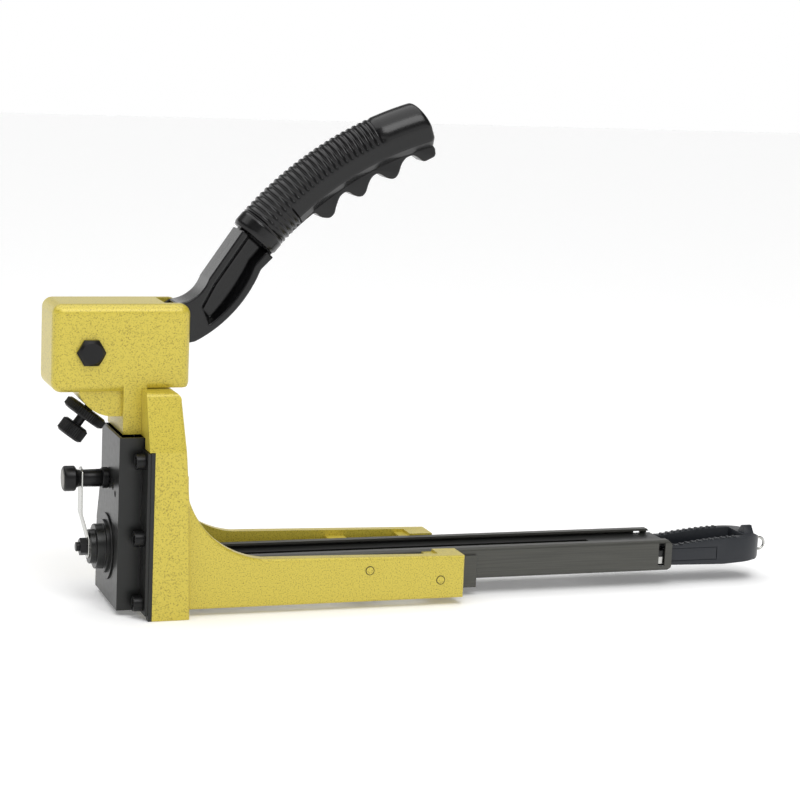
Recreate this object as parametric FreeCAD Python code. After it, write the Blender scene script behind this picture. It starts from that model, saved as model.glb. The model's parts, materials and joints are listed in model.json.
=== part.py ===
import FreeCAD, Part
import math
import os

# Manual carton closing stapler for 35 mm wide-crown staples, in millimetres.
# Drawn with X measured rearwards from the face of the nose cover, Y across and Z up from the foot.
# Every sub-part is written with X counted from the middle of the foot instead, see save().

V = FreeCAD.Vector
GAP = 0.3          # between pieces that move past each other
RUN = 0.05         # radial clearance of a shaft in its hole
EDGE_ROUND = 2.0   # of the casting's outer corners

# Foot and casting
FOOT_X = 31.0
CAST_FRONT = 19.0
CAST_REAR = 43.5
CAST_HALF = 50.0
SHOULDER_Z = 107.0
CAST_TOP_Z = 142.6
ARM_OUT = 43.5
ARM_IN = 35.5
ARM_END_X = 229.0
ARM_LOW_Z = 4.4
ARM_TOP_Z = 33.8
ARM_CURVE_X = 92.3
GROOVE_HALF = 13.3  # the groove that the lever drops into
GROOVE_Z = 121.5
ARM_PINS = [(163.5, 25.2), (212.4, 17.0)]
ARM_PIN_R = 3.0

# Nose
PLATE_X = 16.5
PLATE_T = 2.5
COVER_T = 2.0
COVER_HALF = 33.0
COVER_LOW_Z = 3.4
COVER_TOP_Z = 113.6
SCREW_Y = 40.6
SCREW_ZS = [100.0, 51.0, 9.6]
SCREW_R = 3.0
SCREW_HEAD_R = 5.0
SCREW_HEAD_H = 6.0

# Head
HEAD_X0 = -40.8
HEAD_X1 = 46.3
HEAD_HALF = 23.2
HEAD_Z0 = 140.3
HEAD_REAR_Z0 = 143.2
HEAD_Z1 = 195.6
HEAD_ROUND = 6.5
HEAD_WALL = 5.7
NECK_X0 = 3.9
NECK_X1 = 18.6
NECK_Z0 = 114.0
BOSS_HALF = 18.0
SLOT_X0 = 31.0
SLOT_HALF = 13.0

# Lever
PIVOT = (-17.0, 165.8)
BOLT_R = 5.0
BOLT_AF = 16.0
LEVER_HALF = 12.4
FORK_HALF = 9.0
HUB_R = 9.0
LEVER_TRAVEL = math.radians(40.0)
PIN_R = 4.0
PIN_ARM = 43.0     # from the pivot to the drive pin
GRIP_R = 16.2
GRIP_START = (90.5, 235.1)
GRIP_MID = (140.0, 280.5)
GRIP_END = (217.0, 313.6)
RIDGE_HALF = 7.5

# Driver
BLADE_X0 = 11.9
BLADE_T = 1.6
BLADE_HALF = 17.3
BLADE_Z0 = 33.4
BLOCK_X0 = 10.3
BLOCK_X1 = 32.5
BLOCK_HALF_Z = 7.0

# Rails and drawer
RAIL_OUT = 21.9
RAIL_T = 1.5
RAIL_LIP = 14.5
RAIL_Z0 = 10.9
RAIL_Z1 = 32.0
RAIL_X0 = 19.3
RAIL_X1 = 388.9
LATCH_SLOT = (378.9, 383.8)
CORE_HALF = 16.6
CORE_T = 1.2
CORE_Z0 = 13.2
CORE_Z1 = 29.0
TAIL_X0 = 389.4
TAIL_X1 = 459.0
TAIL_HALF = 18.6

# Depth adjuster and clinchers
HUB_Z = 37.5
ECCENTRIC = 4.0
ECCENTRIC_R = 2.5
KNOB_Z = 82.0
CARRIER_X0 = 4.4
CARRIER_T = 2.0
CLAW_Y = 14.0
CLAW_Z = 12.0
CLAW_R = 16.4
CLAW_T = 3.0

# Stop screw under the head, its axis leaning forward
STOP_AT = (-15.6, 124.2)
STOP_TILT = math.radians(54.0)


def side(x, z):
    return V(x, 0, z)


def front(y, z):
    return V(0, y, z)


def plan(x, y):
    return V(x, y, 0)


NORMAL = {side: V(0, 1, 0), front: V(1, 0, 0), plan: V(0, 0, 1)}


def prism(outline, plane, low, high):
    """Extrude an outline from low to high; a step ((m, n), (a, b)) is an arc through its first point."""
    edges = []
    here = outline[0]
    for step in outline[1:] + [outline[0]]:
        if isinstance(step[0], tuple):
            edges.append(Part.Arc(plane(*here), plane(*step[0]), plane(*step[1])).toShape())
            here = step[1]
        elif step != here:
            edges.append(Part.LineSegment(plane(*here), plane(*step)).toShape())
            here = step
    face = Part.Face(Part.Wire(edges))
    face.translate(NORMAL[plane] * low)
    return face.extrude(NORMAL[plane] * (high - low))


def box(x0, x1, y0, y1, z0, z1):
    return Part.makeBox(x1 - x0, y1 - y0, z1 - z0, V(x0, y0, z0))


def rod(radius, start, end):
    return Part.makeCylinder(radius, (end - start).Length, start, end - start)


def cross_rod(radius, x, z, y0, y1):
    return rod(radius, V(x, y0, z), V(x, y1, z))


def long_rod(radius, x0, x1, y, z):
    return rod(radius, V(x0, y, z), V(x1, y, z))


def hexagon(across, start, end):
    """Hexagonal bar from start to end with two of its corners level."""
    axis = end - start
    radius = across / math.sqrt(3)
    turns = [k * math.pi / 3 for k in range(7)]
    corners = [V(radius * math.cos(turn), radius * math.sin(turn), 0) for turn in turns]
    bar = Part.Face(Part.makePolygon(corners)).extrude(V(0, 0, axis.Length))
    bar.Placement = FreeCAD.Placement(start, FreeCAD.Rotation(V(0, 0, 1), axis))
    return bar


def mirror(shape):
    return shape.mirror(V(0, 0, 0), V(0, 1, 0))


def fuse(first, *others):
    return first.fuse(list(others)).removeSplitter()


def cut(shape, *tools):
    return shape.cut(list(tools))


def rounded(shape, radius, chosen):
    return shape.makeFillet(radius, [edge for edge in shape.Edges if chosen(edge)])


def save(node, shape):
    shape = shape.copy()
    shape.translate(V(-FOOT_X, 0, 0))
    if len(shape.Solids) == 1:
        shape = shape.Solids[0]
    print(node, len(shape.Solids), shape.isValid(), round(shape.Volume))
    shape.exportStep("parts/" + node + ".step")


# ---- casting -------------------------------------------------------------------------------------

def upright():
    """The tall part of the casting, tapering to a boss under the head."""
    faces = [(-CAST_HALF, 0), (-CAST_HALF, SHOULDER_Z), (-40, 137.5), (-39.1, 140.3), (-37.7, 141.9),
             (-35.5, CAST_TOP_Z), (35.5, CAST_TOP_Z), (37.7, 141.9), (39.1, 140.3), (40, 137.5),
             (CAST_HALF, SHOULDER_Z), (CAST_HALF, 0)]
    depth = [(CAST_FRONT, 0), (CAST_FRONT, SHOULDER_Z + GAP), (15.4, SHOULDER_Z + GAP),
             (15.2, CAST_TOP_Z), (33.0, CAST_TOP_Z), (35.1, 141.9), (36.5, 140.3), (37.4, 137.5),
             (39.2, SHOULDER_Z), (41.4, 77.0), (CAST_REAR, 0)]
    block = prism(faces, front, 10, 50).common(prism(depth, side, -60, 60))

    def corner(edge):
        middle = edge.BoundBox.Center
        return middle.x > 36 and abs(middle.y) > 40 and middle.z < 137 and edge.BoundBox.ZLength > 5

    block = rounded(block, EDGE_ROUND, corner)
    rails_way = box(0, 60, -ARM_IN, ARM_IN, 8.5, 36)
    back_cavity = box(CAST_FRONT + 7, 60, -ARM_IN, ARM_IN, 35, 96)
    plate_seat = box(0, CAST_FRONT, -36.5, 36.5, 100, COVER_TOP_Z + GAP)
    neck_seat = box(0, NECK_X1 + 0.1, -HEAD_HALF - 0.1, HEAD_HALF + 0.1, 100, 160)
    groove = box(0, 60, -GROOVE_HALF, GROOVE_HALF, GROOVE_Z, 160)
    return cut(block, rails_way, back_cavity, plate_seat, neck_seat, groove)


def arm():
    """One arm beside the magazine, with the bosses that hold the rail."""
    outline = [(24, ARM_LOW_Z), (24, 90), (42.4, 90), (42.7, 76.0), ((57.9, 51.4), (ARM_CURVE_X, 35.4)),
               (ARM_END_X, ARM_TOP_Z - 1.2), (ARM_END_X, ARM_LOW_Z)]
    blade = prism(outline, side, ARM_IN, ARM_OUT)

    def outer(edge):
        middle = edge.BoundBox.Center
        return abs(middle.y - ARM_OUT) < 0.1 and middle.x > 40

    blade = rounded(blade, EDGE_ROUND, outer)
    end_block = prism([(206, 7), (206, 31), (213, 31), (213, ARM_TOP_Z - 1.0), (ARM_END_X, ARM_TOP_Z - 1.2),
                       (ARM_END_X, 7)], side, RAIL_OUT + 0.05, ARM_IN + 1)
    mid_boss = box(157, 170, RAIL_OUT + 0.05, ARM_IN + 1, 17, 30)
    return fuse(blade, end_block, mid_boss)


def body_casting():
    near = mirror(arm())
    body = fuse(upright(), arm(), near)
    holes = []
    for x, z in ARM_PINS:
        holes.append(cross_rod(ARM_PIN_R, x, z, -60, 60))
    for y in (-SCREW_Y, SCREW_Y):
        for z in SCREW_ZS:
            holes.append(long_rod(SCREW_R, 10, 34, y, z))
    for y in (-20.5, 20.5):
        holes.append(long_rod(2.5, 10, 60, y, 118))
        holes.append(long_rod(4.4, 34.5, 60, y, 118))
    return cut(body, *holes)


def back_plate():
    outline = [(-46, 0), (-50, 0), (-50, SHOULDER_Z), (-36, SHOULDER_Z), (-36, COVER_TOP_Z),
               (36, COVER_TOP_Z), (36, SHOULDER_Z), (50, SHOULDER_Z), (50, 0), (46, 0),
               (40, COVER_LOW_Z), (-40, COVER_LOW_Z)]
    plate = prism(outline, front, PLATE_X, PLATE_X + PLATE_T)
    staple_way = box(0, 60, -20.2, 20.2, 12.6, 31)
    neck_way = box(0, NECK_X1 + 0.1, -HEAD_HALF - 0.1, HEAD_HALF + 0.1, NECK_Z0 - 0.1, 160)
    holes = [long_rod(SCREW_R, 0, 60, y, z) for y in (-SCREW_Y, SCREW_Y) for z in SCREW_ZS]
    return cut(plate, staple_way, neck_way, *holes)


def cover_outline(inset):
    """Front view of the cover, cut away at its upper far side; inset moves the walls inwards."""
    near = -COVER_HALF + inset
    far = COVER_HALF - inset
    low = COVER_LOW_Z
    top = COVER_TOP_Z
    if inset:
        low = -10
        top = 130
    return [(near, low), (near, top), (21 - inset, top), (21 - inset, 83 - inset / 4),
            (far, 50 - inset / 4), (far, low)]


def nose_cover():
    """Hat-section cover: front face, two side walls and the flanges under the screws."""
    hat = prism(cover_outline(0), front, 0, PLATE_X)
    inside = prism(cover_outline(COVER_T), front, COVER_T, 30)
    flange = box(PLATE_X - COVER_T, PLATE_X, -49.4, 49.4, COVER_LOW_Z, SHOULDER_Z - 0.4)
    window = long_rod(20.0, -5, 10, 0, HUB_Z)
    index = []
    for step in range(-2, 4):
        angle = math.radians(10 * step)
        radius = KNOB_Z - HUB_Z
        index.append(long_rod(2.0, -5, 10, -radius * math.sin(angle), HUB_Z + radius * math.cos(angle)))
    holes = [long_rod(SCREW_R, 0, 60, y, z) for y in (-SCREW_Y, SCREW_Y) for z in SCREW_ZS]
    return cut(fuse(hat, flange), inside, window, *index, *holes)


def cover_screw(y, z):
    head = long_rod(SCREW_HEAD_R, PLATE_X - COVER_T - SCREW_HEAD_H, PLATE_X - COVER_T, y, z)
    shank = long_rod(SCREW_R, PLATE_X - COVER_T, 33, y, z)
    socket = hexagon(5.0, V(PLATE_X - COVER_T - SCREW_HEAD_H - 1, y, z), V(PLATE_X - 5.4, y, z))
    return cut(fuse(head, shank), socket)


def arm_pin(x, z):
    pin = cross_rod(ARM_PIN_R, x, z, RAIL_OUT + 0.05, ARM_OUT + 0.2)
    return cut(pin, cross_rod(1.3, x, z, ARM_OUT - 1.5, 60))


# ---- head ----------------------------------------------------------------------------------------

def stop_axis(distance):
    """Point on the stop screw's axis, counted up into the head from the lock nut's middle."""
    return V(STOP_AT[0] + distance * math.cos(STOP_TILT), 0, STOP_AT[1] + distance * math.sin(STOP_TILT))


def head_shell():
    """Outside of the head with all its edges rounded, its rear underside a little higher."""
    shell = box(HEAD_X0, HEAD_X1, -HEAD_HALF, HEAD_HALF, HEAD_Z0, HEAD_Z1)
    shell = shell.makeFillet(HEAD_ROUND, shell.Edges)
    return cut(shell, box(NECK_X1, HEAD_X1 + 1, -30, 30, HEAD_Z0 - 1, HEAD_REAR_Z0))


def head_housing():
    """Hollow head with its neck down into the nose and the rounded boss for the stop screw."""
    shell = head_shell()
    neck = box(NECK_X0, NECK_X1, -HEAD_HALF, HEAD_HALF, NECK_Z0, HEAD_Z0 + 8)
    boss = prism([(-24.0, HEAD_Z0 + 2), (-22.3, 138.0), ((-13.5, 128.2), (0, 124.7)), (NECK_X0 + 1, 124.7),
                  (NECK_X0 + 1, HEAD_Z0 + 2)], side, -BOSS_HALF, BOSS_HALF)
    half = HEAD_HALF - HEAD_WALL
    floor_z = 145.0
    cavity = box(HEAD_X0 + HEAD_WALL, HEAD_X1 - 4.3, -half, half, floor_z, HEAD_Z1 - HEAD_WALL)
    rear_way = box(-3, HEAD_X1 + 5, -SLOT_HALF, SLOT_HALF, 138, HEAD_Z1 - HEAD_WALL)
    lever_slot = box(SLOT_X0, HEAD_X1 + 5, -SLOT_HALF, SLOT_HALF, 138, HEAD_Z1 + 5)
    blade_way = box(BLADE_X0 - 0.5, BLADE_X0 + BLADE_T + 0.5, -17.7, 17.7, 100, 150)
    behind_blade = box(BLADE_X0, 25, -SLOT_HALF, SLOT_HALF, 131, 150)
    seat = rod(30, stop_axis(3.35 + GAP), stop_axis(-30))
    stud_way = rod(3.0 + RUN, stop_axis(-30), stop_axis(40))
    bolt_way = cross_rod(BOLT_R, PIVOT[0], PIVOT[1], -60, 60)
    screws = [long_rod(2.5, 8, 60, y, 118) for y in (-20.5, 20.5)]
    body = cut(fuse(neck, cut(boss, seat)), blade_way)
    body = fuse(shell, body)
    return cut(body, cavity, rear_way, lever_slot, blade_way, behind_blade, stud_way, bolt_way, *screws)


def head_screw(y):
    shank = long_rod(2.5, 8, 35, y, 118)
    head = long_rod(4.3, 34.5, 39.5, y, 118)
    return cut(fuse(shank, head), hexagon(4.0, V(36.5, y, 118), V(45, y, 118)))


def pivot_bolt():
    x, z = PIVOT
    head = hexagon(BOLT_AF, V(x, -HEAD_HALF - 4.2, z), V(x, -HEAD_HALF, z))
    bevel = Part.makeCone(5.5, 13.5, 8, V(x, -HEAD_HALF - 4.4 - 0.8, z), V(0, 1, 0))
    return fuse(head.common(bevel), cross_rod(BOLT_R, x, z, -HEAD_HALF, HEAD_HALF + 8))


def pivot_washer():
    x, z = PIVOT
    return cut(cross_rod(9.5, x, z, HEAD_HALF, HEAD_HALF + 1.5), cross_rod(BOLT_R, x, z, 0, 60))


def pivot_nut():
    x, z = PIVOT
    low = HEAD_HALF + 1.5
    nut = hexagon(BOLT_AF, V(x, low, z), V(x, low + 5.5, z))
    return cut(nut, cross_rod(BOLT_R, x, z, 0, 60))


def pivot_bush():
    x, z = PIVOT
    return cut(cross_rod(7.5, x, z, LEVER_HALF + GAP, HEAD_HALF - HEAD_WALL), cross_rod(BOLT_R, x, z, 0, 60))


def return_spring():
    """Torsion spring of two turns round the bush; each half turn leans a little along the bolt."""
    wire_r = 0.65
    coil_r = 10.0
    pitch = 1.45
    lean = math.degrees(math.asin(pitch / 4 / coil_r))
    halves = []
    for k in range(4):
        half = Part.makeTorus(coil_r, wire_r, V(0, 0, 0), NORMAL[side], -180, 180, 180)
        if k % 2:
            half.rotate(V(0, 0, 0), V(0, 0, 1), 180)
        half.rotate(V(0, 0, 0), V(1, 0, 0), -lean if k % 2 else lean)
        half.translate(V(PIVOT[0], LEVER_HALF + GAP + wire_r + pitch / 4 + k * pitch / 2, PIVOT[1]))
        halves.append(half)
    return fuse(*halves)


# ---- lever ---------------------------------------------------------------------------------------

def pin_at():
    """Where the drive pin stands at rest: half the travel above the level of the pivot."""
    return (PIVOT[0] + PIN_ARM * math.cos(LEVER_TRAVEL / 2), PIVOT[1] + PIN_ARM * math.sin(LEVER_TRAVEL / 2))


def pocket_rim(inset, y):
    """Outline of the hollow in the arm's side at one depth; the inset moves it inwards all round."""
    high = 4.2 + inset
    low = 4.6 + inset
    corners = [V(84.0 + 0.82 * high, y, 246.5 - 0.57 * high), V(59.3 + 0.82 * high, y, 210.4 - 0.57 * high),
               V(55.0 + 0.6 * inset, y, 193.5 - inset), V(60.0 + 0.6 * inset, y, 176.6 + low)]
    middle = V(76.4 - 0.8 * low, y, 189.3 + 0.6 * low)
    rear = V(93.0 - 0.8 * low, y, 216.5 + 0.6 * low)
    last = V(104.0 - 0.72 * low, y, 229.0 + 0.7 * low)
    edges = [Part.LineSegment(a, b).toShape() for a, b in zip(corners, corners[1:])]
    edges.append(Part.Arc(corners[3], middle, rear).toShape())
    edges.append(Part.LineSegment(rear, last).toShape())
    edges.append(Part.LineSegment(last, corners[0]).toShape())
    return Part.Wire(edges)


def lever_arm():
    """Forged lever: a forked hub inside the head, then a flanged arm that rises into the grip."""
    x, z = PIVOT
    low = [(51.4, 170.7), ((76.0, 189.3), (93.0, 216.5)), (100.8, 224.3)]
    high = [(80.6, 241.5), (59.3, 210.4), ((54.0, 201.6), (39.5, 195.0))]
    outline = [(x + 1.8, z - HUB_R + 0.2)] + low + high + [(29.5, 188.6), (x - 1.5, z + HUB_R - 0.2),
                                                         ((x - HUB_R, z), (x + 1.8, z - HUB_R + 0.2))]
    arm_ = prism(outline, side, -LEVER_HALF, LEVER_HALF)
    pocket = Part.makeLoft([pocket_rim(0.0, LEVER_HALF + 0.1), pocket_rim(3.6, 4.5)], True, True)
    fork = prism([(x + 22, z - 30), (x + 22, z + 30), (24, 200), (39, 200), (39, z - 30)],
                 side, -FORK_HALF, FORK_HALF)
    tang = prism([(80.6, 241.5), (100.8, 224.3), (132, 262), (118, 276)], side, -4, 4)
    bore = cross_rod(BOLT_R + RUN, x, z, -60, 60)
    pin_hole = cross_rod(PIN_R, pin_at()[0], pin_at()[1], -60, 60)
    arm_ = cut(arm_, pocket, mirror(pocket), fork, bore, pin_hole)
    return fuse(arm_, tang)


def drive_pin():
    return cross_rod(PIN_R, pin_at()[0], pin_at()[1], -LEVER_HALF, LEVER_HALF)


def grip_path():
    return Part.Wire(Part.Arc(side(*GRIP_START), side(*GRIP_MID), side(*GRIP_END)).toShape())


def grip(tang):
    """Moulded grip: a curved round bar with a slanting end and a finger ridge below."""
    path = grip_path()
    start = side(*GRIP_START)
    heading = path.Edges[0].tangentAt(path.Edges[0].FirstParameter)
    section = Part.Wire(Part.makeCircle(GRIP_R, start, heading))
    bar = path.makePipeShell([section], True, True)
    end_cut = prism([(184.0, 336.0), ((200.9, 314.0), (209.2, 292.4)), (210.5, 270.0),
                     (250.0, 270.0), (250.0, 336.0)], side, -40, 40)
    ridge = prism([(110, 236), (124, 248.5), ((130.5, 252.6), (132.5, 250.6)),
                   ((140.2, 250.2), (143.0, 255.0)),
                   ((146.5, 266.5), (152.5, 265.6)), ((160.5, 264.6), (163.0, 271.0)),
                   ((168.5, 278.8), (174.0, 276.8)), ((182.0, 275.6), (185.5, 283.5)),
                   ((192.0, 290.4), (200.5, 288.0)), ((208.0, 288.8), (208.6, 294.0)),
                   (200, 306), (140, 284), (100, 244)], side, -RIDGE_HALF, RIDGE_HALF)
    bar = cut(bar, end_cut)

    def rim(edge):
        middle = edge.BoundBox.Center
        return middle.x > 190 and edge.Length > 50

    return cut(fuse(rounded(bar, 3.0, rim), ridge), tang)


# ---- driver --------------------------------------------------------------------------------------

def driver_block():
    """Slotted block on top of the blade; the drive pin works in its level slot."""
    z = pin_at()[1]
    half = FORK_HALF - GAP - 0.1
    block = box(BLOCK_X0, BLOCK_X1, -half, half, z - BLOCK_HALF_Z, z + BLOCK_HALF_Z)
    shift = PIN_ARM * (1 - math.cos(LEVER_TRAVEL / 2))
    play = PIN_R + 0.35
    x = pin_at()[0]
    slot = box(x, x + shift, -20, 20, z - play, z + play)
    ends = [cross_rod(play, x, z, -20, 20), cross_rod(play, x + shift, z, -20, 20)]
    return cut(block, slot, *ends)


def driver_blade():
    """Wide blade with a narrow stem that passes between the lever's cheeks."""
    top = pin_at()[1] - BLOCK_HALF_Z
    shoulder = top - 14
    blade = box(BLADE_X0, BLADE_X0 + BLADE_T, -BLADE_HALF, BLADE_HALF, BLADE_Z0, shoulder)
    stem = box(BLADE_X0, BLADE_X0 + BLADE_T, -8.0, 8.0, shoulder, top)
    return fuse(blade, stem)


# ---- depth adjuster and clinchers ----------------------------------------------------------------

def eccentric_hub():
    steps = [(11.0, -12.0, -8.5), (14.4, -8.5, -3.0), (17.0, -3.0, 3.7)]
    rings = [long_rod(radius, x0, x1, 0, HUB_Z) for radius, x0, x1 in steps]
    pin = long_rod(ECCENTRIC_R, 3.7, CARRIER_X0 + CARRIER_T, ECCENTRIC, HUB_Z)
    return fuse(*rings, pin)


def hub_bearing():
    """Ring set in the cover's window, in which the hub turns."""
    ring = fuse(long_rod(20.0, -0.01, COVER_T, 0, HUB_Z), long_rod(21.3, -1.2, 0, 0, HUB_Z))
    return cut(ring, long_rod(17.0 + RUN, -5, 5, 0, HUB_Z))


def hub_stud():
    return long_rod(3.0, -20.1, -12.0, 0, HUB_Z)


def hub_nut():
    return cut(hexagon(10.0, V(-17.6, 0, HUB_Z), V(-13.1, 0, HUB_Z)), long_rod(3.0, -30, 0, 0, HUB_Z))


def leaf_strap():
    """Spring steel leaf from the hub's nut up to the index knob."""
    outline = [(-12.0, 27.5), (-13.0, 27.5), (-13.0, 43.0), (-18.0, 60.0), (-18.0, 90.0),
               (-17.0, 90.0), (-17.0, 60.0), (-12.0, 43.0)]
    strap = prism(outline, side, -6, 6)
    top = long_rod(7.5, -30, 0, 0, KNOB_Z)
    low = box(-30, 0, -6, 6, HUB_Z, KNOB_Z)
    foot = long_rod(7.5, -30, 0, 0, HUB_Z)
    strap = strap.common(fuse(top, low, foot))
    return cut(strap, long_rod(4.6, -30, 0, 0, KNOB_Z), long_rod(3.0, -30, 0, 0, HUB_Z))


def index_knob():
    cap = long_rod(8.1, -29.0, -21.0, 0, KNOB_Z)
    waist = Part.makeCone(6.25, 5.4, 2.7, V(-21.0, 0, KNOB_Z), V(1, 0, 0))
    shaft = long_rod(4.5, -18.3, -16.7, 0, KNOB_Z)
    barrel = Part.makeCone(5.4, 5.7, 12.4, V(-16.7, 0, KNOB_Z), V(1, 0, 0))
    collar = long_rod(6.75, -4.3, -GAP, 0, KNOB_Z)
    knob = fuse(cap, waist, shaft, barrel, collar)
    return cut(knob, long_rod(1.6, -15, 5, 0, KNOB_Z))


def index_pin():
    """Locating pin, stopping just short of its hole in the cover."""
    return long_rod(1.6, -15, -0.3, 0, KNOB_Z)


def clincher_carrier():
    plate = box(CARRIER_X0, CARRIER_X0 + CARRIER_T, -29.5, 29.5, 5.5, 45)
    slot = box(0, 10, 0.6, 7.0, HUB_Z - ECCENTRIC_R - 0.2, HUB_Z + ECCENTRIC_R + 0.2)
    pins = [long_rod(2.0, 0, 20, y, CLAW_Z) for y in (-CLAW_Y, CLAW_Y)]
    return cut(plate, slot, *pins)


def claw_pin(y):
    return long_rod(2.0, CARRIER_X0, 11.6, y, CLAW_Z)


def clincher():
    """Curved claw on a hub; it swings in under the carton flap and turns the staple leg over."""
    x0 = CARRIER_X0 + CARRIER_T + GAP
    x1 = x0 + 4.4

    def polar(radius, degrees):
        angle = math.radians(degrees)
        return (CLAW_Y + radius * math.cos(angle), CLAW_Z + radius * math.sin(angle))

    inner = CLAW_R - CLAW_T
    claw = prism([polar(CLAW_R, 36), (polar(CLAW_R, 0), polar(CLAW_R, -30)), polar(inner + 0.6, -38),
                  (polar(inner, 0), polar(inner, 36))], front, x0, x1)
    web = prism([polar(3.5, 80), polar(inner + 1, 34), polar(inner + 1, 2), polar(3.5, -60)], front, x0, x1)
    hub = long_rod(4.6, x0, x1, CLAW_Y, CLAW_Z)
    return cut(fuse(claw, web, hub), long_rod(2.0 + RUN, 0, 20, CLAW_Y, CLAW_Z))


# ---- stop screw ----------------------------------------------------------------------------------

def stop_stud():
    return rod(3.0, stop_axis(-17.0), stop_axis(24.0))


def fluted(radius, start, end, flutes, depth):
    """Round knob with straight grooves along its rim."""
    knob = rod(radius, start, end)
    axis = end - start
    across = V(0, 1, 0)
    other = axis.cross(across)
    other.normalize()
    cuts = []
    for k in range(flutes):
        angle = 2 * math.pi * k / flutes
        offset = (across * math.cos(angle) + other * math.sin(angle)) * (radius + depth * 0.6)
        cuts.append(rod(depth * 1.6, start + offset, end + offset))
    return cut(knob, *cuts)


def lock_nut():
    nut = fluted(14.4, stop_axis(-3.35), stop_axis(3.35), 24, 0.7)
    return cut(nut, rod(3.0 + RUN, stop_axis(-20), stop_axis(20)))


def stop_knob():
    knob = fluted(9.0, stop_axis(-18.0), stop_axis(-8.6), 18, 0.6)
    return cut(knob, rod(3.0 + RUN, stop_axis(-17.0 - RUN), stop_axis(20)))


# ---- magazine ------------------------------------------------------------------------------------

def rail():
    bend = 2.4
    turn = bend * (1 - math.sqrt(0.5))
    section = [(RAIL_OUT, RAIL_Z0 + bend), (RAIL_OUT, RAIL_Z1 - bend),
               ((RAIL_OUT - turn, RAIL_Z1 - turn), (RAIL_OUT - bend, RAIL_Z1)),
               (RAIL_LIP, RAIL_Z1), (RAIL_LIP, RAIL_Z1 - RAIL_T),
               (RAIL_OUT - RAIL_T, RAIL_Z1 - RAIL_T), (RAIL_OUT - RAIL_T, RAIL_Z0 + RAIL_T),
               (RAIL_LIP, RAIL_Z0 + RAIL_T), (RAIL_LIP, RAIL_Z0), (RAIL_OUT - bend, RAIL_Z0),
               ((RAIL_OUT - turn, RAIL_Z0 + turn), (RAIL_OUT, RAIL_Z0 + bend))]
    channel = prism(section, front, RAIL_X0, RAIL_X1)
    slot = box(LATCH_SLOT[0], LATCH_SLOT[1], 0, 60, 14.2, 30.2)
    snip = 3.5
    high = prism([(RAIL_X1 - snip, RAIL_Z1 + 1), (RAIL_X1 + 1, RAIL_Z1 + 1), (RAIL_X1 + 1, RAIL_Z1 - snip)],
                 side, 0, 60)
    low = prism([(RAIL_X1 - snip, RAIL_Z0 - 1), (RAIL_X1 + 1, RAIL_Z0 + snip), (RAIL_X1 + 1, RAIL_Z0 - 1)],
                side, 0, 60)
    return cut(channel, slot, high, low)


def rail_clip():
    return box(ARM_END_X, 245.0, RAIL_OUT + 0.05, RAIL_OUT + 2.1, 5.7, 27.5)


def staple_core():
    """Inverted channel that the staples straddle; it draws out with the tail."""
    outside = box(24, TAIL_X0, -CORE_HALF, CORE_HALF, CORE_Z0, CORE_Z1)
    inside = box(0, TAIL_X0 - 14, -CORE_HALF + CORE_T, CORE_HALF - CORE_T, 0, CORE_Z1 - CORE_T)
    latch_way = box(TAIL_X0 - 14.2, 500, -30, 30, 15.0, 27.0)
    hook_way = box(40, 335, -2.6, 2.6, CORE_Z1 - CORE_T - 1, 40)
    return cut(outside, inside, latch_way, hook_way)


def tail_grip():
    """Moulded tail: a trough with raised side walls and a rounded rear."""
    outline = [(TAIL_X0, 13.9), (TAIL_X0, 27.0), (398, 27.3), ((425, 30.4), (456, 31.6)),
               ((462.5, 28.5), (TAIL_X1 + 5.0, 22.5)), ((461.5, 16.2), (455, 14.6)), (430, 13.0)]
    block = prism(outline, side, -TAIL_HALF, TAIL_HALF)
    across = [(TAIL_X0, -TAIL_HALF), (445, -TAIL_HALF), ((459, -12), (TAIL_X1 + 5.5, 0)),
              ((459, 12), (445, TAIL_HALF)), (TAIL_X0, TAIL_HALF)]
    block = block.common(prism(across, plan, 0, 60))
    trough = box(402, 449, -12.5, 12.5, 24.5, 60)
    latch_bay = box(TAIL_X0 - 1, 425, -30, -13.2, 16.5, 25.5)
    crest = prism([(-9, 28), (-2.5, 36.0), (-0.5, 36.0), (7, 28)], front, 452, 459)
    return cut(fuse(block, crest), trough, latch_bay, mirror(latch_bay), wire_loop())


def latch():
    """Squeeze button with its tooth, stopping just short of the rail's slot."""
    stem = box(376, 424, 14.8, 16.4, 17.0, 25.0)
    tooth = box(LATCH_SLOT[0] + 0.6, LATCH_SLOT[1] - 0.6, 16.4, 20.1, 18.0, 24.8)
    button = box(394, 423.5, 16.4, 19.6, 17.0, 25.0)
    return fuse(stem, tooth, button)


def wire_loop():
    loop = Part.makeTorus(4.2, 0.9, V(TAIL_X1 + 7.6, 0, 22.3), V(0, 1, 0))
    stem = long_rod(0.9, TAIL_X1 - 6, TAIL_X1 + 4.4, 0, 22.3)
    return fuse(loop, stem)


def pusher():
    """Saddle that rides over the core and presses the staples forward."""
    outside = box(24.5, 52, -19.6, 19.6, 12.9, 30.1)
    inside = box(0, 80, -CORE_HALF - GAP, CORE_HALF + GAP, 0, CORE_Z1 + GAP)
    hook = box(44, 50, -2.0, 2.0, 15, 30.0)
    return fuse(cut(outside, inside), hook)


def feed_spring():
    """Outer shape of the long spring that draws the pusher forward inside the core."""
    tube = long_rod(5.0, 50, 372, 0, 20.5)
    return cut(tube, long_rod(3.8, 0, 400, 0, 20.5))


# ---- all sub-parts -------------------------------------------------------------------------------

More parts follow.
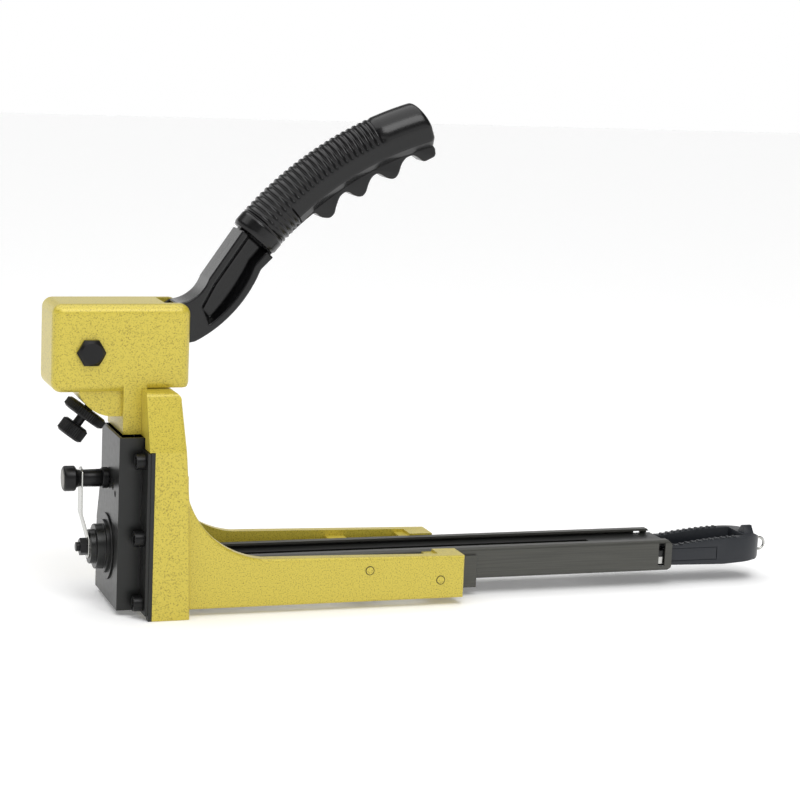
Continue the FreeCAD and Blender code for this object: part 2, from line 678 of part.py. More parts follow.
os.makedirs("parts", exist_ok=True)
save("body_casting", body_casting())
save("back_plate", back_plate())
save("nose_cover", nose_cover())
for name, y in (("left", SCREW_Y), ("right", -SCREW_Y)):
    for k, z in enumerate(SCREW_ZS):
        save("cover_screw_%s_%d" % (name, k + 1), cover_screw(y, z))
for k, (x, z) in enumerate(ARM_PINS):
    save("arm_pin_left_%d" % (k + 1), arm_pin(x, z))
    save("arm_pin_right_%d" % (k + 1), mirror(arm_pin(x, z)))
save("head_housing", head_housing())
save("head_screw_left", head_screw(20.5))
save("head_screw_right", head_screw(-20.5))
save("pivot_bolt", pivot_bolt())
save("pivot_washer", pivot_washer())
save("pivot_nut", pivot_nut())
save("pivot_bush_left", pivot_bush())
save("pivot_bush_right", mirror(pivot_bush()))
save("return_spring_left", return_spring())
save("return_spring_right", mirror(return_spring()))
lever = lever_arm()
save("lever_arm", lever)
save("grip", grip(lever))
save("drive_pin", drive_pin())
save("driver_block", driver_block())
save("driver_blade", driver_blade())
save("eccentric_hub", eccentric_hub())
save("hub_bearing", hub_bearing())
save("hub_stud", hub_stud())
save("hub_nut", hub_nut())
save("leaf_strap", leaf_strap())
save("index_knob", index_knob())
save("index_pin", index_pin())
save("clincher_carrier", clincher_carrier())
save("claw_pin_left", claw_pin(CLAW_Y))
save("claw_pin_right", claw_pin(-CLAW_Y))
save("clincher_left", clincher())
save("clincher_right", mirror(clincher()))
save("stop_stud", stop_stud())
save("lock_nut", lock_nut())
save("stop_knob", stop_knob())
save("rail_left", rail())
save("rail_right", mirror(rail()))
save("rail_clip_left", rail_clip())
save("rail_clip_right", mirror(rail_clip()))
save("staple_core", staple_core())
save("tail_grip", tail_grip())
save("latch_left", latch())
save("latch_right", mirror(latch()))
save("wire_loop", wire_loop())
save("pusher", pusher())
save("feed_spring", feed_spring())
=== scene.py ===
import json
import math

import bmesh
import bpy
from mathutils import Matrix, Vector

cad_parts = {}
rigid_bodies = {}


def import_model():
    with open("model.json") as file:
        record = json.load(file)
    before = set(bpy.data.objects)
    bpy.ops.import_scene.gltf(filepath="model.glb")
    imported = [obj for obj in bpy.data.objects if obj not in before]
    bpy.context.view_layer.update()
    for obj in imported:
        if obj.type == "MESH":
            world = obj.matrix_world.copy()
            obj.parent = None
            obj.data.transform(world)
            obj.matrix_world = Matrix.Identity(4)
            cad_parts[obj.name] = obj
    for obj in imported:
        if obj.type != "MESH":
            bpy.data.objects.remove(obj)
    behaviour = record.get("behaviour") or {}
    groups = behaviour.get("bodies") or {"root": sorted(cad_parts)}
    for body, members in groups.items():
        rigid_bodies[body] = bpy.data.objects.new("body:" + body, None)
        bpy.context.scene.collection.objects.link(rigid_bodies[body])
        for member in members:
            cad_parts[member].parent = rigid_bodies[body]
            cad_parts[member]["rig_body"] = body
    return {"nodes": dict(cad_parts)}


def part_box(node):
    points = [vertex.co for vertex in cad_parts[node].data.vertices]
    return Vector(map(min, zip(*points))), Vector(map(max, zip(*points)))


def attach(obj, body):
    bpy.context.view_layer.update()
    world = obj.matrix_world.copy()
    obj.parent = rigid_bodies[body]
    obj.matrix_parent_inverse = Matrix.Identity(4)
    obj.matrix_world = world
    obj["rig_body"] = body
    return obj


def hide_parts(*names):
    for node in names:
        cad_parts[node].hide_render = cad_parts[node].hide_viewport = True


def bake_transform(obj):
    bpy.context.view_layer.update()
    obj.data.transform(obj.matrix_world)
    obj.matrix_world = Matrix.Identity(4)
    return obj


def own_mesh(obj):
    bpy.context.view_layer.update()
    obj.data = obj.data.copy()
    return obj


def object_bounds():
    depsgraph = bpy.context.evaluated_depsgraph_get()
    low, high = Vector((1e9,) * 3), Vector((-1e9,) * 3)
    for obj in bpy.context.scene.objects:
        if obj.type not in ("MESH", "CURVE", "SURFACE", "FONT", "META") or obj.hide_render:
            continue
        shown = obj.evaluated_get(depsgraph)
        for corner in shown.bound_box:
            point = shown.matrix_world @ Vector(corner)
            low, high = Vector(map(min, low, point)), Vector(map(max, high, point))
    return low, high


# The looks of a manual carton closing stapler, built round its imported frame.
# Lengths are in millimetres in this script and turned into metres by MM.
# X runs rearwards from the middle of the foot, Y across and Z up.

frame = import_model()
cad_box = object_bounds()

MM = 0.001
TAIL_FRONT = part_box("tail_grip")[0].x / MM
TAIL_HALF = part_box("tail_grip")[1].y / MM

# Centre line of the grip and the curve that its slanting end is cut to
GRIP_R = 16.2
GRIP_LINE = [(59.5, 235.1), (109.0, 280.5), (186.0, 313.6)]
GRIP_END_CUT = [(153.0, 336.0), (169.9, 314.0), (178.2, 292.4)]
COLLAR = 10.5      # plain length before the ribs
RIB_PITCH = 3.85
RIB_COUNT = 24
RIB_DEPTH = 1.1
UNDER_RIBS_END = COLLAR + 5 * RIB_PITCH
FLATS = [(90.0, 124.0), (124.0, 156.0)]  # degrees from the top, of the flats along the lower sides
FLAT_RUN_IN = 2.0  # length over which a flat sinks in
RIB_FADE = 6.0     # degrees over which the ribs die out beside a flat
LIP_HALF = 1.2     # half width of the groove that ends the collar
LIP_DEPTH = 0.55
NOSE = 2.0         # rounded start of the bar
NOSE_DROP = 0.9
END_RIM = 3.2      # radius round the slanting end
AROUND = 72        # faces round the bar

# Latches and tail, counted from the tail's front
LATCH_TOOTH = TAIL_FRONT - 8.05
BUTTON_LENGTH = (0.5, 35.3)
HOLLOW_LENGTH = (1.4, 59.6)
HOLLOW_HALF = 12.4
HOLLOW_FLOOR = 17.5
TOOTH_PITCH = 4.5
TOOTH_COUNT = 11


# ---- materials -----------------------------------------------------------------------------------

def linear(red, green, blue):
    """Colour as the eye names it, 0 to 255, in the renderer's own scale."""
    def one(level):
        level = level / 255
        return level / 12.92 if level <= 0.04045 else ((level + 0.055) / 1.055) ** 2.4
    return (one(red), one(green), one(blue), 1.0)


class Paint:
    """A Principled material with helpers for its textures."""

    def __init__(self, name, colour, roughness, metallic=0.0, coat=0.0, specular=0.5):
        self.material = bpy.data.materials.new(name)
        self.material.use_nodes = True
        self.tree = self.material.node_tree
        self.shader = self.tree.nodes["Principled BSDF"]
        self.set("Base Color", linear(*colour))
        self.set("Roughness", roughness)
        self.set("Metallic", metallic)
        self.set("Coat Weight", coat)
        self.set("Coat Roughness", 0.12)
        self.set("Specular IOR Level", specular)
        self.place = self.tree.nodes.new("ShaderNodeTexCoord").outputs["Object"]
        self.normal = None

    def set(self, socket, value):
        self.shader.inputs[socket].default_value = value

    def link(self, output, socket):
        self.tree.links.new(output, socket)

    def stretched(self, scale):
        """Object coordinates scaled per axis."""
        node = self.tree.nodes.new("ShaderNodeMapping")
        node.inputs["Scale"].default_value = scale
        self.link(self.place, node.inputs["Vector"])
        return node.outputs["Vector"]

    def noise(self, scale, detail=3.0, place=None):
        node = self.tree.nodes.new("ShaderNodeTexNoise")
        node.inputs["Scale"].default_value = scale
        node.inputs["Detail"].default_value = detail
        self.link(place or self.place, node.inputs["Vector"])
        return node.outputs["Fac"]

    def cells(self, scale):
        node = self.tree.nodes.new("ShaderNodeTexVoronoi")
        node.feature = "SMOOTH_F1"
        node.inputs["Scale"].default_value = scale
        self.link(self.place, node.inputs["Vector"])
        return node.outputs["Distance"]

    def ramp(self, value, low, high, first, last):
        """first below low, last above high."""
        node = self.tree.nodes.new("ShaderNodeValToRGB")
        node.color_ramp.elements[0].position = low
        node.color_ramp.elements[1].position = high
        node.color_ramp.elements[0].color = first
        node.color_ramp.elements[1].color = last
        self.link(value, node.inputs["Fac"])
        return node.outputs["Color"]

    def spotted(self, value, low, high, first, last):
        colour = self.ramp(value, low, high, linear(*first), linear(*last))
        self.link(colour, self.shader.inputs["Base Color"])

    def rough_between(self, value, first, last):
        node = self.tree.nodes.new("ShaderNodeMapRange")
        node.inputs["To Min"].default_value = first
        node.inputs["To Max"].default_value = last
        self.link(value, node.inputs["Value"])
        self.link(node.outputs["Result"], self.shader.inputs["Roughness"])

    def bumpy(self, value, strength, distance):
        node = self.tree.nodes.new("ShaderNodeBump")
        node.inputs["Strength"].default_value = strength
        node.inputs["Distance"].default_value = distance * MM
        self.link(value, node.inputs["Height"])
        if self.normal:
            self.link(self.normal, node.inputs["Normal"])
        self.normal = node.outputs["Normal"]
        self.link(self.normal, self.shader.inputs["Normal"])


def gold_paint():
    """Hammered gold enamel: fine dimples with dark specks in a pale, slightly metallic yellow."""
    paint = Paint("gold_hammered", (202, 184, 62), 0.42, metallic=0.2, coat=0.5)
    paint.set("Coat Roughness", 0.3)
    paint.spotted(paint.noise(1150, 4), 0.28, 0.50, (146, 127, 32), (206, 188, 66))
    paint.bumpy(paint.cells(560), 0.35, 0.25)
    paint.bumpy(paint.noise(1400, 3), 0.25, 0.12)
    return paint.material


def black_steel():
    """Blued sheet steel with a faint grain."""
    paint = Paint("black_steel", (27, 28, 27), 0.34, metallic=0.35, specular=0.6)
    paint.rough_between(paint.noise(260, 4), 0.28, 0.40)
    paint.bumpy(paint.noise(1500, 2), 0.15, 0.05)
    return paint.material


def lever_paint():
    """Glossy black enamel over a forging."""
    paint = Paint("lever_paint", (8, 8, 9), 0.24, coat=0.2, specular=0.35)
    paint.bumpy(paint.noise(120, 2), 0.2, 0.25)
    paint.rough_between(paint.noise(300, 3), 0.2, 0.3)
    return paint.material


def grip_plastic():
    paint = Paint("grip_plastic", (7, 7, 8), 0.23, coat=0.1, specular=0.35)
    paint.rough_between(paint.noise(420, 3), 0.2, 0.3)
    paint.bumpy(paint.noise(1600, 2), 0.1, 0.04)
    return paint.material


def black_fastener():
    paint = Paint("black_fastener", (22, 22, 23), 0.34, metallic=0.5)
    paint.rough_between(paint.noise(900, 3), 0.28, 0.42)
    return paint.material


def knurled_steel():
    paint = Paint("knurled_steel", (26, 26, 27), 0.42, metallic=0.4)
    paint.rough_between(paint.noise(900, 3), 0.36, 0.5)
    return paint.material


def rail_steel():
    """Dark phosphated strip, its grain drawn along the rail."""
    paint = Paint("rail_steel", (74, 74, 69), 0.36, metallic=0.45)
    grain = paint.noise(60, 3, paint.stretched((0.4, 30.0, 30.0)))
    paint.spotted(grain, 0.3, 0.7, (70, 70, 66), (80, 80, 75))
    paint.bumpy(grain, 0.06, 0.03)
    return paint.material


def bright_steel():
    """Bare drawn steel."""
    paint = Paint("bright_steel", (190, 190, 186), 0.26, metallic=0.95)
    paint.bumpy(paint.noise(500, 3), 0.1, 0.04)
    return paint.material


def pin_steel():
    paint = Paint("pin_steel", (120, 118, 112), 0.35, metallic=0.8)
    paint.rough_between(paint.noise(700, 3), 0.28, 0.42)
    return paint.material


def tail_plastic():
    """Dark moulded plastic with a fine grain."""
    paint = Paint("tail_plastic", (34, 37, 42), 0.42, specular=0.4)
    paint.bumpy(paint.noise(1800, 3), 0.3, 0.06)
    return paint.material


def pusher_steel():
    paint = Paint("pusher_steel", (96, 97, 98), 0.36, metallic=0.7)
    paint.rough_between(paint.noise(500, 3), 0.3, 0.42)
    return paint.material


NODE_SLOT = {node: obj.material_slots[0].material.name for node, obj in frame["nodes"].items()}
NODE_BODY = {node: obj["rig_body"] for node, obj in frame["nodes"].items()}
FINISHES = {maker.__name__: maker() for maker in (
    gold_paint, black_steel, lever_paint, grip_plastic, black_fastener, knurled_steel, rail_steel,
    bright_steel, pin_steel, tail_plastic, pusher_steel)}


# ---- mesh helpers --------------------------------------------------------------------------------

def smooth(obj, angle=32.0):
    obj.data.shade_smooth()
    obj.data.set_sharp_from_angle(angle=math.radians(angle))


def place(obj, body, slot, *nodes):
    """Give a piece its finish, its body, if it rides on one, and the CAD nodes that it stands for."""
    obj.data.materials.clear()
    obj.data.materials.append(FINISHES[slot])
    if body:
        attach(obj, body)
    if nodes:
        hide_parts(*nodes)
    return obj


def from_bmesh(name, shape):
    bmesh.ops.remove_doubles(shape, verts=shape.verts, dist=0.002 * MM)
    bmesh.ops.recalc_face_normals(shape, faces=shape.faces)
    mesh = bpy.data.meshes.new(name)
    shape.to_mesh(mesh)
    shape.free()
    obj = bpy.data.objects.new(name, mesh)
    bpy.context.scene.collection.objects.link(obj)
    return obj


def apply_modifiers(obj):
    depsgraph = bpy.context.evaluated_depsgraph_get()
    mesh = bpy.data.meshes.new_from_object(obj.evaluated_get(depsgraph))
    obj.modifiers.clear()
    obj.data = mesh
    return obj


def node_copy(node):
    """The CAD node's own faces, joined up and with its flat faces made whole."""
    shape = bmesh.new()
    shape.from_mesh(frame["nodes"][node].data)
    bmesh.ops.remove_doubles(shape, verts=shape.verts, dist=0.002 * MM)
    bmesh.ops.dissolve_limit(shape, angle_limit=math.radians(0.6), verts=shape.verts, edges=shape.edges)
    return from_bmesh(node + "_looks", shape)


def break_edges(obj, width, segments, angle):
    """Round the edges where faces meet at more than angle degrees."""
    edge = obj.modifiers.new("edge", "BEVEL")
    edge.width = width * MM
    edge.segments = segments
    edge.limit_method = "ANGLE"
    edge.angle_limit = math.radians(angle)
    apply_modifiers(obj)


def softened(node, width, rides=True):
    """A CAD node with its sharp edges broken."""
    obj = node_copy(node)
    break_edges(obj, width, 2, 35.0)
    smooth(obj)
    even = obj.modifiers.new("even", "WEIGHTED_NORMAL")
    even.keep_sharp = True
    apply_modifiers(obj)
    return place(obj, NODE_BODY[node] if rides else None, NODE_SLOT[node], node)


def forged(node, voxel, passes):
    """A CAD node with the flowing edges of a forging or casting."""
    obj = node_copy(node)
    remesh = obj.modifiers.new("skin", "REMESH")
    remesh.mode = "VOXEL"
    remesh.voxel_size = voxel * MM
    relax = obj.modifiers.new("relax", "SMOOTH")
    relax.factor = 0.5
    relax.iterations = passes
    apply_modifiers(obj)
    smooth(obj, 60.0)
    return place(obj, NODE_BODY[node], NODE_SLOT[node], node)


def rings_to_skin(shape, rings):
    """Faces between rings of vertices with equal numbers of points, and a face over each end."""
    for one, other in zip(rings, rings[1:]):
        count = len(one)
        for k in range(count):
            shape.faces.new((one[k], one[(k + 1) % count], other[(k + 1) % count], other[k]))
    shape.faces.new(list(reversed(rings[0])))
    shape.faces.new(rings[-1])


# ---- grip ----------------------------------------------------------------------------------------

def circle_through(points):
    """Centre and radius of the circle through three (x, z) points."""
    (ax, az), (bx, bz), (cx, cz) = points
    d = 2 * (ax * (bz - cz) + bx * (cz - az) + cx * (az - bz))
    a2, b2, c2 = ax * ax + az * az, bx * bx + bz * bz, cx * cx + cz * cz
    ux = (a2 * (bz - cz) + b2 * (cz - az) + c2 * (az - bz)) / d
    uz = (a2 * (cx - bx) + b2 * (ax - cx) + c2 * (bx - ax)) / d
    return Vector((ux, 0, uz)), math.hypot(ax - ux, az - uz)


class GripShape:
    """The grip's bar as a surface: how far along, how far from the centre line, which way round."""

    def __init__(self):
        self.centre, self.radius = circle_through(GRIP_LINE)
        self.cut_centre, self.cut_radius = circle_through(GRIP_END_CUT)
        first, last = GRIP_LINE[0], GRIP_LINE[2]
        self.start = math.atan2(first[1] - self.centre.z, first[0] - self.centre.x)
        self.finish = math.atan2(last[1] - self.centre.z, last[0] - self.centre.x)
        self.length = abs(self.finish - self.start) * self.radius

    def at(self, along, out, round_):
        """Point in metres; round_ is the angle from the top towards the near side."""
        angle = self.start + (self.finish - self.start) * along / self.length
        outward = Vector((math.cos(angle), 0, math.sin(angle)))
        spot = self.centre + outward * (self.radius + out * math.cos(round_))
        return (spot + Vector((0, -out * math.sin(round_), 0))) * MM

    def end(self, out, round_):
        """How far along the slanting end lies for this line of the bar."""
        low, high = 0.5 * self.length, 1.2 * self.length
        for _ in range(30):
            middle = (low + high) / 2
            spot = self.at(middle, out, round_) / MM
            inside = math.hypot(spot.x - self.cut_centre.x, spot.z - self.cut_centre.z) < self.cut_radius
            low, high = (middle, high) if inside else (low, middle)
        return low


def grip_radius(along, round_):
    """Radius of the bar with its collar lip, ribs and flat band."""
    degrees = abs(math.degrees(round_))
    out = GRIP_R
    if along < NOSE:
        out -= NOSE_DROP * (1 - along / NOSE)
    lip = abs(along - COLLAR + LIP_HALF)
    if lip < LIP_HALF:
        out -= LIP_DEPTH * (1 + math.cos(math.pi * lip / LIP_HALF)) / 2
    ribs_end = COLLAR + RIB_PITCH * RIB_COUNT
    if COLLAR < along < ribs_end:
        wave = (1 - math.cos(2 * math.pi * (along - COLLAR) / RIB_PITCH)) / 2
        fade = min(1.0, max(0.0, (FLATS[0][0] - 2 - degrees) / RIB_FADE))
        if along < UNDER_RIBS_END:
            fade = max(fade, min(1.0, max(0.0, (degrees - FLATS[0][0]) / RIB_FADE)))
        out -= RIB_DEPTH * (1 - wave ** 0.6) * fade
    for first, last in FLATS:
        if first < degrees < last and along > UNDER_RIBS_END - FLAT_RUN_IN:
            middle = math.radians((first + last) / 2)
            half = math.radians((last - first) / 2)
            flat = GRIP_R * math.cos(half) / math.cos(abs(round_) - middle)
            out -= (GRIP_R - flat) * min(1.0, (along - UNDER_RIBS_END + FLAT_RUN_IN) / FLAT_RUN_IN)
    return out


def grip():
    """Moulded grip: ribbed above, a flat band along each lower side and a rounded slanting end."""
    line = GripShape()
    step = RIB_PITCH / 8
    plain_from = COLLAR + RIB_PITCH * RIB_COUNT
    stations = [0.0, 0.6, 1.2, NOSE]
    along = 3.0
    while along < plain_from:
        stations.append(along)
        along += step
    shape = bmesh.new()
    signed = [math.remainder(2 * math.pi * k / AROUND, 2 * math.pi) for k in range(AROUND)]

    def ring(spot):
        return [shape.verts.new(spot(angle)) for angle in signed]

    shortest = min(line.end(GRIP_R, angle) for angle in signed) - END_RIM
    rings = [ring(lambda a: line.at(0, GRIP_R - 4, a))]
    for station in stations:
        rings.append(ring(lambda a, s=station: line.at(s, grip_radius(s, a), a)))
    for part in range(1, 13):
        def stretch(a, share=part / 12):
            reach = line.end(grip_radius(plain_from, a), a) - END_RIM
            here = plain_from + (reach - plain_from) * share
            return line.at(here, grip_radius(here, a), a)
        rings.append(ring(stretch))
    for part in range(1, 6):
        def bend(a, turn=math.pi / 2 * part / 5):
            full = grip_radius(shortest, a)
            reach = line.end(full, a) - END_RIM
            return line.at(reach + END_RIM * math.sin(turn), full - END_RIM * (1 - math.cos(turn)), a)
        rings.append(ring(bend))
    for share in (0.75, 0.5, 0.25, 0.06):
        def face(a, share=share):
            out = (GRIP_R - END_RIM) * share
            return line.at(line.end(out, a), out, a)
        rings.append(ring(face))
    rings_to_skin(shape, rings)
    obj = from_bmesh("grip_bar", shape)
    smooth(obj, 50.0)
    return place(obj, "lever", "grip_plastic", "grip")


RIDGE_LOW = [(79, 236), (93, 248.5), (97.6, 251.9), (99.6, 251.6), (102.0, 249.9), (105.2, 249.2),
             (108.6, 249.5), (111.2, 252.2), (112.4, 257.0), (114.4, 262.6), (117.6, 265.6), (120.6, 265.8),
             (123.4, 264.2), (126.6, 263.2), (129.8, 263.6), (132.0, 266.4), (133.4, 271.2), (135.6, 275.6),
             (139.0, 278.0), (142.4, 277.2), (145.4, 275.6), (149.0, 274.8), (151.8, 275.8), (153.8, 279.0),
             (155.2, 284.0), (158.0, 288.2), (162.4, 290.2), (166.0, 289.2), (170.4, 286.6), (174.6, 288.2),
             (178.0, 290.4), (177.8, 295.0)]
RIDGE_HIGH = [(169, 306), (109, 284), (69, 244)]


def smooth_line(points, per_span):
    """A curve through the points, with per_span steps between each pair."""
    curve = []
    for k in range(len(points) - 1):
        before = points[max(k - 1, 0)]
        a, b = points[k], points[k + 1]
        after = points[min(k + 2, len(points) - 1)]
        for n in range(per_span):
            t = n / per_span
            spot = []
            for c in (0, 1):
                m0 = (b[c] - before[c]) / 2
                m1 = (after[c] - a[c]) / 2
                spot.append((2 * t ** 3 - 3 * t ** 2 + 1) * a[c] + (t ** 3 - 2 * t ** 2 + t) * m0
                            + (3 * t ** 2 - 2 * t ** 3) * b[c] + (t ** 3 - t ** 2) * m1)
            curve.append(tuple(spot))
    curve.append(points[-1])
    return curve


def plate(name, outline, y0, y1, bevel):
    """An outline in the side view given a thickness across, its rim rounded."""
    shape = bmesh.new()
    near = [shape.verts.new(Vector((x, y0, z)) * MM) for x, z in outline]
    far = [shape.verts.new(Vector((x, y1, z)) * MM) for x, z in outline]
    rings_to_skin(shape, [near, far])
    obj = from_bmesh(name, shape)
    break_edges(obj, bevel, 3, 50.0)
    smooth(obj, 40.0)
    return obj


def finger_ridge():
    outline = smooth_line(RIDGE_LOW, 3) + RIDGE_HIGH
    return place(plate("grip_finger_ridge", outline, -7.2, 7.2, 1.6), "lever", "grip_plastic")


# ---- knobs and small parts -----------------------------------------------------------------------

def turned(name, start, end, profile, around=48, flutes=0, depth=0.0):
    """Round part along an axis; profile lists (share of the length, radius, fluted or not)."""
    axis = Vector(end) - Vector(start)
    across = axis.orthogonal().normalized()
    other = axis.normalized().cross(across)
    count = flutes * 4 if flutes else around
    shape = bmesh.new()
    rings = []
    for share, radius, cut in profile:
        ring = []
        for k in range(count):
            out = radius - (depth if flutes and cut and k % 4 in (0, 3) else 0.0)
            angle = 2 * math.pi * (k + 0.5) / count
            spot = Vector(start) + axis * share + (across * math.cos(angle) + other * math.sin(angle)) * out
            ring.append(shape.verts.new(spot * MM))
        rings.append(ring)
    rings_to_skin(shape, rings)
    obj = from_bmesh(name, shape)
    smooth(obj, 30.0)
    return obj


def stop_point(distance):
    """Point on the leaning stop screw's axis, counted up from the lock nut's middle."""
    tilt = math.radians(54.0)
    return (-46.6 + distance * math.cos(tilt), 0.0, 124.2 + distance * math.sin(tilt))


def knurl_profile(radius, depth, length, chamfer):
    ends = chamfer / length
    return [(0.0, radius - chamfer - depth, False), (ends * 0.6, radius - depth - 0.3, False),
            (ends, radius, True), (1 - ends, radius, True), (1 - ends * 0.6, radius - depth - 0.3, False),
            (1.0, radius - chamfer - depth, False)]


def knurled_knobs():
    nut = turned("lock_nut_knurled", stop_point(-3.35), stop_point(3.35),
                 knurl_profile(14.4, 0.6, 6.7, 1.2), flutes=56, depth=0.6)
    place(nut, NODE_BODY["lock_nut"], "knurled_steel", "lock_nut")
    knob = turned("stop_knob_knurled", stop_point(-18.0), stop_point(-8.6),
                  knurl_profile(9.0, 0.5, 9.4, 1.2), flutes=36, depth=0.5)
    place(knob, NODE_BODY["stop_knob"], "knurled_steel", "stop_knob")


def index_knob():
    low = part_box("index_knob")[0] / MM
    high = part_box("index_knob")[1] / MM
    z = (low.z + high.z) / 2
    length = high.x - low.x
    steps = [(0.0, 6.9), (0.5, 7.7), (1.2, 8.1), (6.9, 8.1), (7.7, 7.6), (8.0, 6.3), (9.6, 5.5), (10.7, 5.2),
             (10.75, 4.5), (12.3, 4.5), (12.35, 5.2), (12.9, 5.5), (24.0, 5.7), (24.6, 5.4), (24.7, 6.3),
             (25.2, 6.75), (28.2, 6.75), (length, 6.4)]
    knob = turned("index_knob_turned", (low.x, 0, z), (high.x, 0, z),
                  [(at / length, radius, False) for at, radius in steps], around=56)
    place(knob, NODE_BODY["index_knob"], "black_fastener", "index_knob")
    face = turned("index_knob_face", (low.x - 0.25, 0, z), (low.x + 0.5, 0, z),
                  [(0.0, 5.6, False), (0.3, 5.9, False), (1.0, 5.9, False)], around=48)
    place(face, NODE_BODY["index_knob"], "pin_steel")


def leaf_strap():
    """Leaf spring from the hub's nut to the index knob, with its edges broken, baked in place and riding on
    no body.
    """
    strap = softened("leaf_strap", 0.25, rides=False)
    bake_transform(strap)


def arm_pins():
    """Rail pins painted over with the casting, each ringed by a thin dark disc that paints the shade in the
    gap round the pin.
    """
    for node in frame["nodes"]:
        if node.startswith("arm_pin"):
            low, high = (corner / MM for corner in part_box(node))
            x = (low.x + high.x) / 2
            z = (low.z + high.z) / 2
            inner, outer = sorted((low.y, high.y), key=abs)
            proud = math.copysign(0.05, outer)
            pin = turned(node + "_flush", (x, inner, z), (x, outer + 2 * proud, z),
                         [(0.0, 2.5, False), (1.0, 2.5, False)], around=40)
            place(pin, "frame", "gold_paint", node)
            # Painted shade: a thin dark disc round the pin stands in for the shadowed gap between the pin and
            # its hole.
            gap_shade = turned(node + "_seat", (x, outer - 20 * proud, z), (x, outer + proud, z),
                          [(0.0, 2.95, False), (1.0, 2.95, False)], around=40)
            place(gap_shade, "frame", "black_fastener")


def tail():
    """Moulded tail, hollowed right up to the rails, with small grip teeth along its side walls."""
    obj = node_copy("tail_grip")
    shape = bmesh.new()
    bmesh.ops.create_cube(shape, size=1.0)
    hollow = from_bmesh("tail_hollow", shape)
    x0, x1 = (TAIL_FRONT + at for at in HOLLOW_LENGTH)
    height = 40.0
    hollow.scale = Vector((x1 - x0, 2 * HOLLOW_HALF, height)) * MM
    hollow.location = Vector(((x0 + x1) / 2, 0, HOLLOW_FLOOR + height / 2)) * MM
    bpy.context.view_layer.update()
    dig = obj.modifiers.new("hollow", "BOOLEAN")
    dig.object = hollow
    dig.operation = "DIFFERENCE"
    dig.solver = "EXACT"
    apply_modifiers(obj)
    bpy.data.objects.remove(hollow)
    break_edges(obj, 0.7, 2, 35.0)
    smooth(obj)
    place(obj, "drawer", "tail_plastic", "tail_grip")
    centre, radius = circle_through([(TAIL_FRONT + 8.6, 27.3), (TAIL_FRONT + 35.6, 30.4),
                                     (TAIL_FRONT + 66.6, 31.6)])
    for side, name in ((-1, "right"), (1, "left")):
        shape = bmesh.new()
        for k in range(TOOTH_COUNT):
            x0 = TAIL_FRONT + 3.0 + TOOTH_PITCH * k
            x1 = x0 + TOOTH_PITCH * 0.6
            top = centre.z + math.sqrt(radius ** 2 - ((x0 + x1) / 2 - centre.x) ** 2)
            y0 = side * (TAIL_HALF - 0.7)
            y1 = side * 13.2
            low = [shape.verts.new(Vector(p) * MM) for p in
                   ((x0, y0, top - 1.5), (x1, y0, top - 1.5), (x1, y1, top - 1.5), (x0, y1, top - 1.5))]
            high = [shape.verts.new(Vector(p) * MM) for p in
                    ((x0 + 0.5, y0 - side * 0.4, top + 0.9), (x1 - 0.5, y0 - side * 0.4, top + 0.9),
                     (x1 - 0.5, y1 + side * 0.4, top + 0.9), (x0 + 0.5, y1 + side * 0.4, top + 0.9))]
            rings_to_skin(shape, [low, high])
        teeth = from_bmesh("tail_teeth_" + name, shape)
        smooth(teeth, 30.0)
        place(teeth, "drawer", "tail_plastic")


def slab(name, x0, x1, y0, y1, z0, z1, bevel):
    return plate(name, [(x0, z0), (x1, z0), (x1, z1), (x0, z1)], y0, y1, bevel)


def latches():
    """Latch of each side: a button level with the tail's wall, its leaf, a tooth and a bright tongue."""
    for side, name in ((-1, "right"), (1, "left")):
        body = "latch_" + name
        button = slab("latch_button_" + name, TAIL_FRONT + BUTTON_LENGTH[0], TAIL_FRONT + BUTTON_LENGTH[1],
                      side * 16.2, side * (TAIL_HALF - 0.05), 16.7, 25.3, 0.3)
        place(button, body, "tail_plastic", body)
        leaf = slab("latch_leaf_" + name, LATCH_TOOTH - 5.0, TAIL_FRONT + 34.6, side * 14.8, side * 16.4,
                    17.0, 25.0, 0.3)
        place(leaf, body, "black_steel")
        catch = slab("latch_tooth_" + name, LATCH_TOOTH - 1.8, LATCH_TOOTH + 1.8, side * 16.2, side * 20.1,
                     20.8, 24.8, 0.4)
        place(catch, body, "black_steel")
        tongue = slab("latch_tongue_" + name, LATCH_TOOTH - 1.7, LATCH_TOOTH + 1.7, side * 16.4, side * 20.25,
                      15.2, 20.6, 0.4)
        place(tongue, body, "bright_steel")


def feed_spring():
    """Long closely wound spring inside the core, wound at the CAD node's length."""
    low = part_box("feed_spring")[0] / MM
    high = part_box("feed_spring")[1] / MM
    coil_r = 4.4
    wire_r = 0.55
    turns = 110
    steps = 12
    sides = 6
    z = (low.z + high.z) / 2
    length = high.x - low.x - 2 * wire_r
    shape = bmesh.new()
    rings = []
    for k in range(turns * steps + 1):
        angle = 2 * math.pi * k / steps
        x = low.x + wire_r + length * k / (turns * steps)
        outward = Vector((0, math.cos(angle), math.sin(angle)))
        middle = Vector((x, 0, z)) + outward * coil_r
        ring = []
        for n in range(sides):
            turn = 2 * math.pi * n / sides
            ring.append(shape.verts.new((middle + outward * wire_r * math.cos(turn)
                                         + Vector((wire_r * math.sin(turn), 0, 0))) * MM))
        rings.append(ring)
    rings_to_skin(shape, rings)
    spring = from_bmesh("feed_spring_coil", shape)
    smooth(spring, 60.0)
    place(spring, NODE_BODY["feed_spring"], "bright_steel", "feed_spring")
    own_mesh(spring)


# ---- all pieces ----------------------------------------------------------------------------------

